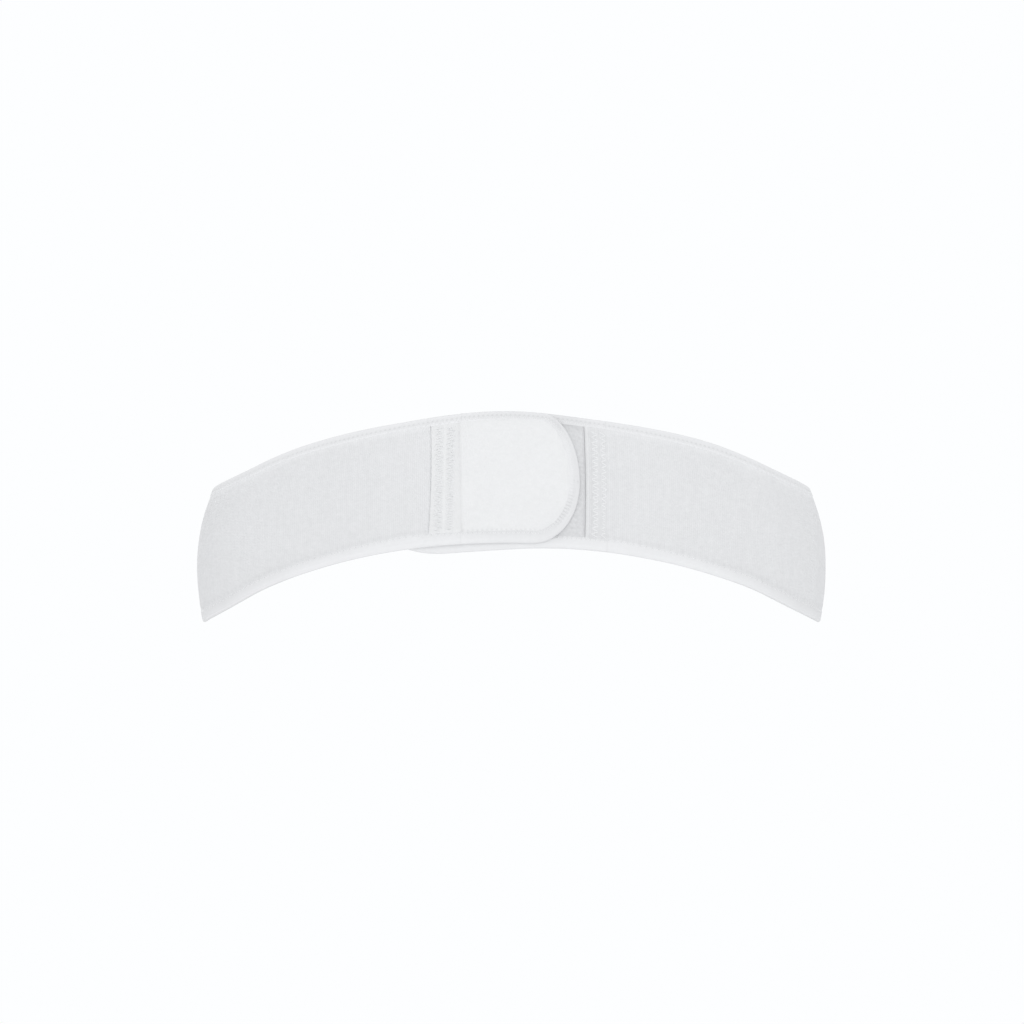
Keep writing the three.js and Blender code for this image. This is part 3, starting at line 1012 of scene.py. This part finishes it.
def tape_low(rim, across, floor):
    """Depth of the tape's inside."""
    run, _ = inward_of(rim, across)
    return floor(run) - mix(TAPE_HEIGHT, TAPE_EDGE, feathered(rim, across))


def outside_tone(rim, share, tip_tone):
    """Tone of the tape's outside at a share of its width, with painted light and shade across it and along
    the band.
    """
    run, top = rim["run"], rim["top"]
    tone = mix(tone_along(BOTTOM_TONE, share), tone_along(TOP_TONE, share), top)
    tone = mix(tone, tone_along(tip_tone, share), at_tip(rim))
    low = -LOW_SIDE_SHADE * toward_side(run) - LOW_END_SHADE * far_side(run)
    low = low + LOW_FRONT_GAIN * beside_closure(run) * smooth(share, *LOW_FRONT_SHARES)
    high = -HIGH_SIDE_SHADE * toward_side(run) * smooth(share, *HIGH_SIDE_SHARES)
    return tone * (1 + (1 - top) * low) * (1 + top * high)


def fold_tone(rim, angle, tip_tone):
    """Painted shade of the tape's fold at an angle from its middle, up towards its outside."""
    painted_tip_shade = min(1.0, tone_along(tip_tone, 0.0) + FOLD_GAIN)
    tone = mix(FOLD_UNDER_SHADE, 1.0, max(0.0, math.sin(angle))) * mix(1.0, painted_tip_shade, at_tip(rim))
    low_side = (1 - rim["top"]) * toward_side(rim["run"])
    return tone * (1 - FOLD_SIDE_SHADE * low_side * math.cos(angle))


def tape_section(rim, floor, stack, brightness, tip_tone):
    """Rows of the tape's closed section: distance from the edge, depth, and tone with its painted light and
    shade along the rim.
    """
    width = rim["width"]
    plain = np.ones_like(width)
    for share in OUTER_ROWS:
        across = share * width
        # Painted light and shade across the tape, and painted shade in the needle's holes
        tone = brightness * outside_tone(rim, share, tip_tone) * (1 - PIT_SHADE * needle_pits(rim, across))
        yield across, tape_top(rim, across, stack), tone
    fold = np.full_like(width, FOLD_ROUND)
    high, low = tape_top(rim, fold, stack), tape_low(rim, fold, floor)
    for angle in FOLD_ANGLES:
        depth = (high + low) / 2 + (high - low) / 2 * math.sin(angle)
        square = 1 - FOLD_SQUARE * at_tip(rim) * (angle < 0)
        yield fold * (1 - math.cos(angle)) * square, depth, brightness * fold_tone(rim, angle, tip_tone)
    for share in INNER_ROWS:
        yield share * width, tape_low(rim, share * width, floor), plain
    for share in LINING_ROWS:
        run, _ = inward_of(rim, share * width)
        yield share * width, floor(run) - TAPE_UNDER, plain
    for share in LINING_ROWS[::-1]:
        yield share * width, under_tape(rim, share * width, stack) + TAPE_UNDER, plain


def make_tape(
    name, rim, floor, stack, node, turned=False, dimming=(0.0, 0.0), joint=JOINT_SHADE, tip_tone=TIP_TONE
):
    """A tape folded over a rim. dimming is how much darker it gets away from its ends, below and above."""
    dimmed = mix(*dimming, rim["top"]) * smooth(from_ends(rim), *DIMMING_SPAN)
    joined = joint * bell(from_ends(rim), 0.0, JOINT_SPREAD)
    # Darker away from the ends, with painted shade at the joints and round a tip's upper corner
    brightness = 1 - dimmed - joined + hump(rim["top"], *CORNER_SHADE)
    section = tape_section(rim, floor, stack, brightness, tip_tone)
    across, depth, tone = (np.stack(rows) for rows in zip(*section))
    run, up = inward_of(rim, across)
    ring = np.arange(run.size).reshape(run.shape)
    loop = np.concatenate([ring, ring[:1]])
    order = -1 if turned else 1
    ends = [ring[::-order, 0], ring[::order, -1]]
    faces = quads_of(loop[::order]).tolist() + [end.tolist() for end in ends]
    flat = np.stack([run, up], -1).reshape(-1, 2)
    points = wrap(run.ravel(), up.ravel(), depth.ravel())
    piece = add_piece(name, points, faces, flat, tone.ravel(), TAPES)
    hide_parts(node)
    return piece


# Stitching
RING_SHARES = np.array([0.0, 0.2, 0.5, 0.8, 1.0])
RING_SIZES = np.array([0.5, 0.95, 1.0, 0.95, 0.5])
RING_LIFTS = np.array([-0.12, 0.06, 0.14, 0.06, -0.12])
THREAD_SIDES = 6
HEM_CHANCE = 0.06
HEM_THREAD_TONE = 0.97
TIP_THINNING = 0.6
SEAM_CHANCE = 0.09
SEAM_LIFT = 0.12
SEAM_INSET = 0.3
MARGIN_STITCH = 2.9
MARGIN_THREAD = 0.24
LAP_STITCH = 3.5
LAP_THREAD = 0.28
# Seams up the cloth: two places across the front, and the share of the sewn edge's bow they follow
MARGIN_SEAMS = ((-45.0, -39.5, 0.75), (-37.9, -32.6, 0.375))
LAP_SEAMS = ((45.8, 50.3, 0.0), (51.2, 54.6, 0.0))


def thread(places, depths, side=1.0, size=THREAD):
    """Lengths of thread from each flat place to the next, with both ends sunk."""
    start, end = places[:-1], places[1:]
    along = (end - start) / np.linalg.norm(end - start, axis=1, keepdims=True)
    across = np.stack([-along[:, 1], along[:, 0]], 1)
    middle = mix(start[:, None], end[:, None], RING_SHARES[:, None])
    base = mix(depths[:-1, None], depths[1:, None], RING_SHARES)
    angle = np.linspace(0, 2 * np.pi, THREAD_SIDES, endpoint=False)
    radius = np.reshape(size, (-1, 1, 1)) * RING_SIZES[:, None]
    flat = middle[:, :, None] + (radius * np.cos(angle))[..., None] * across[:, None, None]
    depth = base[:, :, None] + side * (RING_LIFTS[:, None] + radius * np.sin(angle))
    return flat, depth, side


def make_stitches(name, threads, tone=1.0):
    """One piece from several rows of thread."""
    flats, depths, faces, first = [], [], [], 0
    ring = np.arange(RING_SHARES.size * THREAD_SIDES).reshape(RING_SHARES.size, THREAD_SIDES)
    quads = quads_of(np.concatenate([ring, ring[:, :1]], 1))
    for flat, depth, side in threads:
        count = depth.shape[0]
        number = first + ring.size * np.arange(count)[:, None, None]
        turn = 1 if side > 0 else -1
        faces += (number + quads[:, ::turn]).reshape(-1, 4).tolist()
        for cap in (ring[0], ring[-1, ::-1]):
            faces += (number[:, 0] + cap[::turn]).tolist()
        flats.append(flat.reshape(-1, 2))
        depths.append(depth.ravel())
        first += depth.size
    flat, depth = np.concatenate(flats), np.concatenate(depths)
    points = wrap(flat[:, 0], flat[:, 1], depth)
    return add_piece(name, points, faces, flat, np.full(depth.size, tone), YARN)


def hem_stitches(name, rim, floor, stack):
    """Zigzag along a rim, on both sides of the tape."""
    needle = slice(None, None, HALF_STITCH)
    odd = np.arange(rim["run"].size) // HALF_STITCH % 2
    across = np.where(odd, rim["far"], rim["near"])
    top, low = tape_top(rim, across, stack)[needle], tape_low(rim, across, floor)[needle]
    places = np.stack(inward_of(rim, across), 1)[needle]
    places = places + CHANCE.normal(0, HEM_CHANCE, places.shape)
    size = THREAD * (1 - TIP_THINNING * at_tip(rim))[needle][:-1]
    rows = [thread(places, top, size=size), thread(places, low, side=-1.0, size=size)]
    return make_stitches(name, rows, tone=HEM_THREAD_TONE)


def zigzag_up(from_run, to_run, bow, period, surface, size):
    """Zigzag up the cloth between two runs, from hem to hem."""
    height = band_width(from_run)
    ups = np.arange(BOTTOM_BINDING + SEAM_INSET, height - TOP_BINDING - SEAM_INSET, period / 2)
    leaning = bow * (sewn_edge(ups / height) - TAB_EDGE_RUN)
    runs = np.where(np.arange(ups.size) % 2, from_run, to_run) + leaning
    places = np.stack([runs, ups], 1) + CHANCE.normal(0, SEAM_CHANCE, (ups.size, 2))
    return thread(places, surface(places[:, 0]) + SEAM_LIFT, size=size)


def make_seam_stitches():
    margin = [
        zigzag_up(start_run(first), start_run(second), bow, MARGIN_STITCH, tab_seen, MARGIN_THREAD)
        for first, second, bow in MARGIN_SEAMS
    ]
    lap = [
        zigzag_up(end_run(first), end_run(second), bow, LAP_STITCH, lap_seen, LAP_THREAD)
        for first, second, bow in LAP_SEAMS
    ]
    return make_stitches("margin_stitches", margin), make_stitches("lap_stitches", lap)


# The whole band
TAPE_GAP = 0.02


def tab_run(from_tip):
    return TIP_RUN + from_tip


def landing_run(from_tip):
    return LANDING_END - from_tip


def make_bindings(tab_rim, landing_rim):
    """The four tapes and their stitches, each over a rim, from a floor to a stack of layers."""
    band_runs = BAND_START, LANDING_START - TAPE_GAP
    top_runs = sewn_steps(*band_runs, BAND_TOP_HEM, SIDE_STRETCH)
    bottom_runs = sewn_steps(*band_runs, BAND_BOTTOM_HEM, 0.0)
    top = top_rim(top_runs, band_top_hem(top_runs)), elastic_inner, band_stack
    bottom = bottom_rim(bottom_runs, band_bottom_hem(bottom_runs)), elastic_inner, band_stack
    tab = tab_rim, floor_at, tab_stack
    landing = landing_rim, landing_inner, landing_stack
    tapes = [
        make_tape("top_tape", *top, "top_binding", turned=True),
        make_tape("bottom_tape", *bottom, "bottom_binding"),
        make_tape("tab_tape", *tab, "tab_binding", turned=True, dimming=TAB_DIMMING),
        make_tape("landing_tape", *landing, "landing_binding", **LANDING_TAPE),
    ]
    stitches = [
        hem_stitches("top_stitches", *top),
        hem_stitches("bottom_stitches", *bottom),
        hem_stitches("tab_stitches", *tab),
        hem_stitches("landing_stitches", *landing),
    ]
    return tapes, stitches


tab_edge = tip_rim(tab_run, 1.0, TAB_CORNERS, BAND_START - TAPE_GAP - TIP_RUN)
landing_edge = tip_rim(landing_run, -1.0, LANDING_CORNERS, LANDING_END - LANDING_START)
band, tab, landing = make_elastic(), make_tab(tab_edge), make_landing()
(top_tape, bottom_tape, tab_tape, landing_tape), hem_rows = make_bindings(tab_edge, landing_edge)
top_stitches, bottom_stitches, tab_stitches, landing_stitches = hem_rows
margin_stitches, lap_stitches = make_seam_stitches()

hook_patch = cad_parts["hook_patch"].data
hook_patch.materials.clear()
hook_patch.materials.append(hook_tape())

# Studio in metres, tilts in degrees, and the camera's view in millimetres
STUDIO_WHITE = (0.982, 0.991, 1.0, 1.0)
BLACK = (0.0, 0.0, 0.0, 1.0)
FLOOR_LEVEL = -1.2
FLOOR_MIDDLE = 0.02
FLOOR_REACH = 3.4
FLOOR_RINGS = 6
WALL_ROUND = 1.6
BEND_RINGS = 16
WALL_LEVELS = [1.5, 4.0]
STUDIO_SIDES = 96
LIGHT_PLACE = (0.0, -2.9, 0.5)
LIGHT_TILT = 80.0
LIGHT_SIZE = 1.8
LIGHT_POWER = 14.0
CAMERA_PLACE = (0.0003, -2.605, -0.0197)
CAMERA_TILT = 90.0
SENSOR = 36.0
VIEW_DISTANCE = 2500.0
VIEW_WIDTH = 588.8
CLIP_END = 50.0


def make_world():
    SCENE.view_settings.view_transform = "Standard"
    world = bpy.data.worlds.new("studio")
    world.use_nodes = True
    background = world.node_tree.nodes["Background"].inputs
    background["Color"].default_value = STUDIO_WHITE
    background["Strength"].default_value = 1.0
    SCENE.world = world


def make_backdrop():
    """A round white floor that bends up into a wall."""
    bend = np.linspace(0, np.pi / 2, BEND_RINGS + 1)[1:]
    floor_radii = np.linspace(FLOOR_MIDDLE, FLOOR_REACH, FLOOR_RINGS)
    wall_radii = [FLOOR_REACH + WALL_ROUND] * len(WALL_LEVELS)
    radii = np.concatenate([floor_radii, FLOOR_REACH + WALL_ROUND * np.sin(bend), wall_radii])
    bend_levels = FLOOR_LEVEL + WALL_ROUND * (1 - np.cos(bend))
    levels = np.concatenate([np.full(FLOOR_RINGS, FLOOR_LEVEL), bend_levels, WALL_LEVELS])
    around = np.linspace(0, 2 * np.pi, STUDIO_SIDES, endpoint=False)
    heights = np.repeat(levels[:, None], STUDIO_SIDES, 1)
    points = np.stack([np.outer(radii, np.cos(around)), np.outer(radii, np.sin(around)), heights], -1)
    ring = np.arange(heights.size).reshape(heights.shape)
    quads = quads_of(np.concatenate([ring, ring[:, :1]], 1))
    mesh = bpy.data.meshes.new("studio_floor")
    mesh.from_pydata(points.reshape(-1, 3).tolist(), [], quads.tolist() + [ring[0].tolist()])
    mesh.polygons.foreach_set("use_smooth", np.ones(len(mesh.polygons), bool))
    s = Shader("studio_floor")
    s.plain({"Base Color": BLACK, "Roughness": 1.0, "Specular IOR Level": 0.0})
    s.plain({"Emission Color": STUDIO_WHITE, "Emission Strength": 1.0})
    mesh.materials.append(s.material)
    floor = add_object("studio_floor", mesh)


def make_light():
    light = bpy.data.lights.new("front_light", "AREA")
    light.size = LIGHT_SIZE
    light.energy = LIGHT_POWER
    lamp = add_object("front_light", light)
    lamp.location = LIGHT_PLACE
    lamp.rotation_euler = (math.radians(LIGHT_TILT), 0, 0)


def make_camera():
    camera = bpy.data.cameras.new("camera")
    camera.sensor_width = SENSOR
    camera.lens = SENSOR * VIEW_DISTANCE / VIEW_WIDTH
    camera.clip_end = CLIP_END
    eye = add_object("camera", camera)
    eye.location = CAMERA_PLACE
    eye.rotation_euler = (math.radians(CAMERA_TILT), 0, 0)
    SCENE.camera = eye


make_world()
make_backdrop()
make_light()
make_camera()
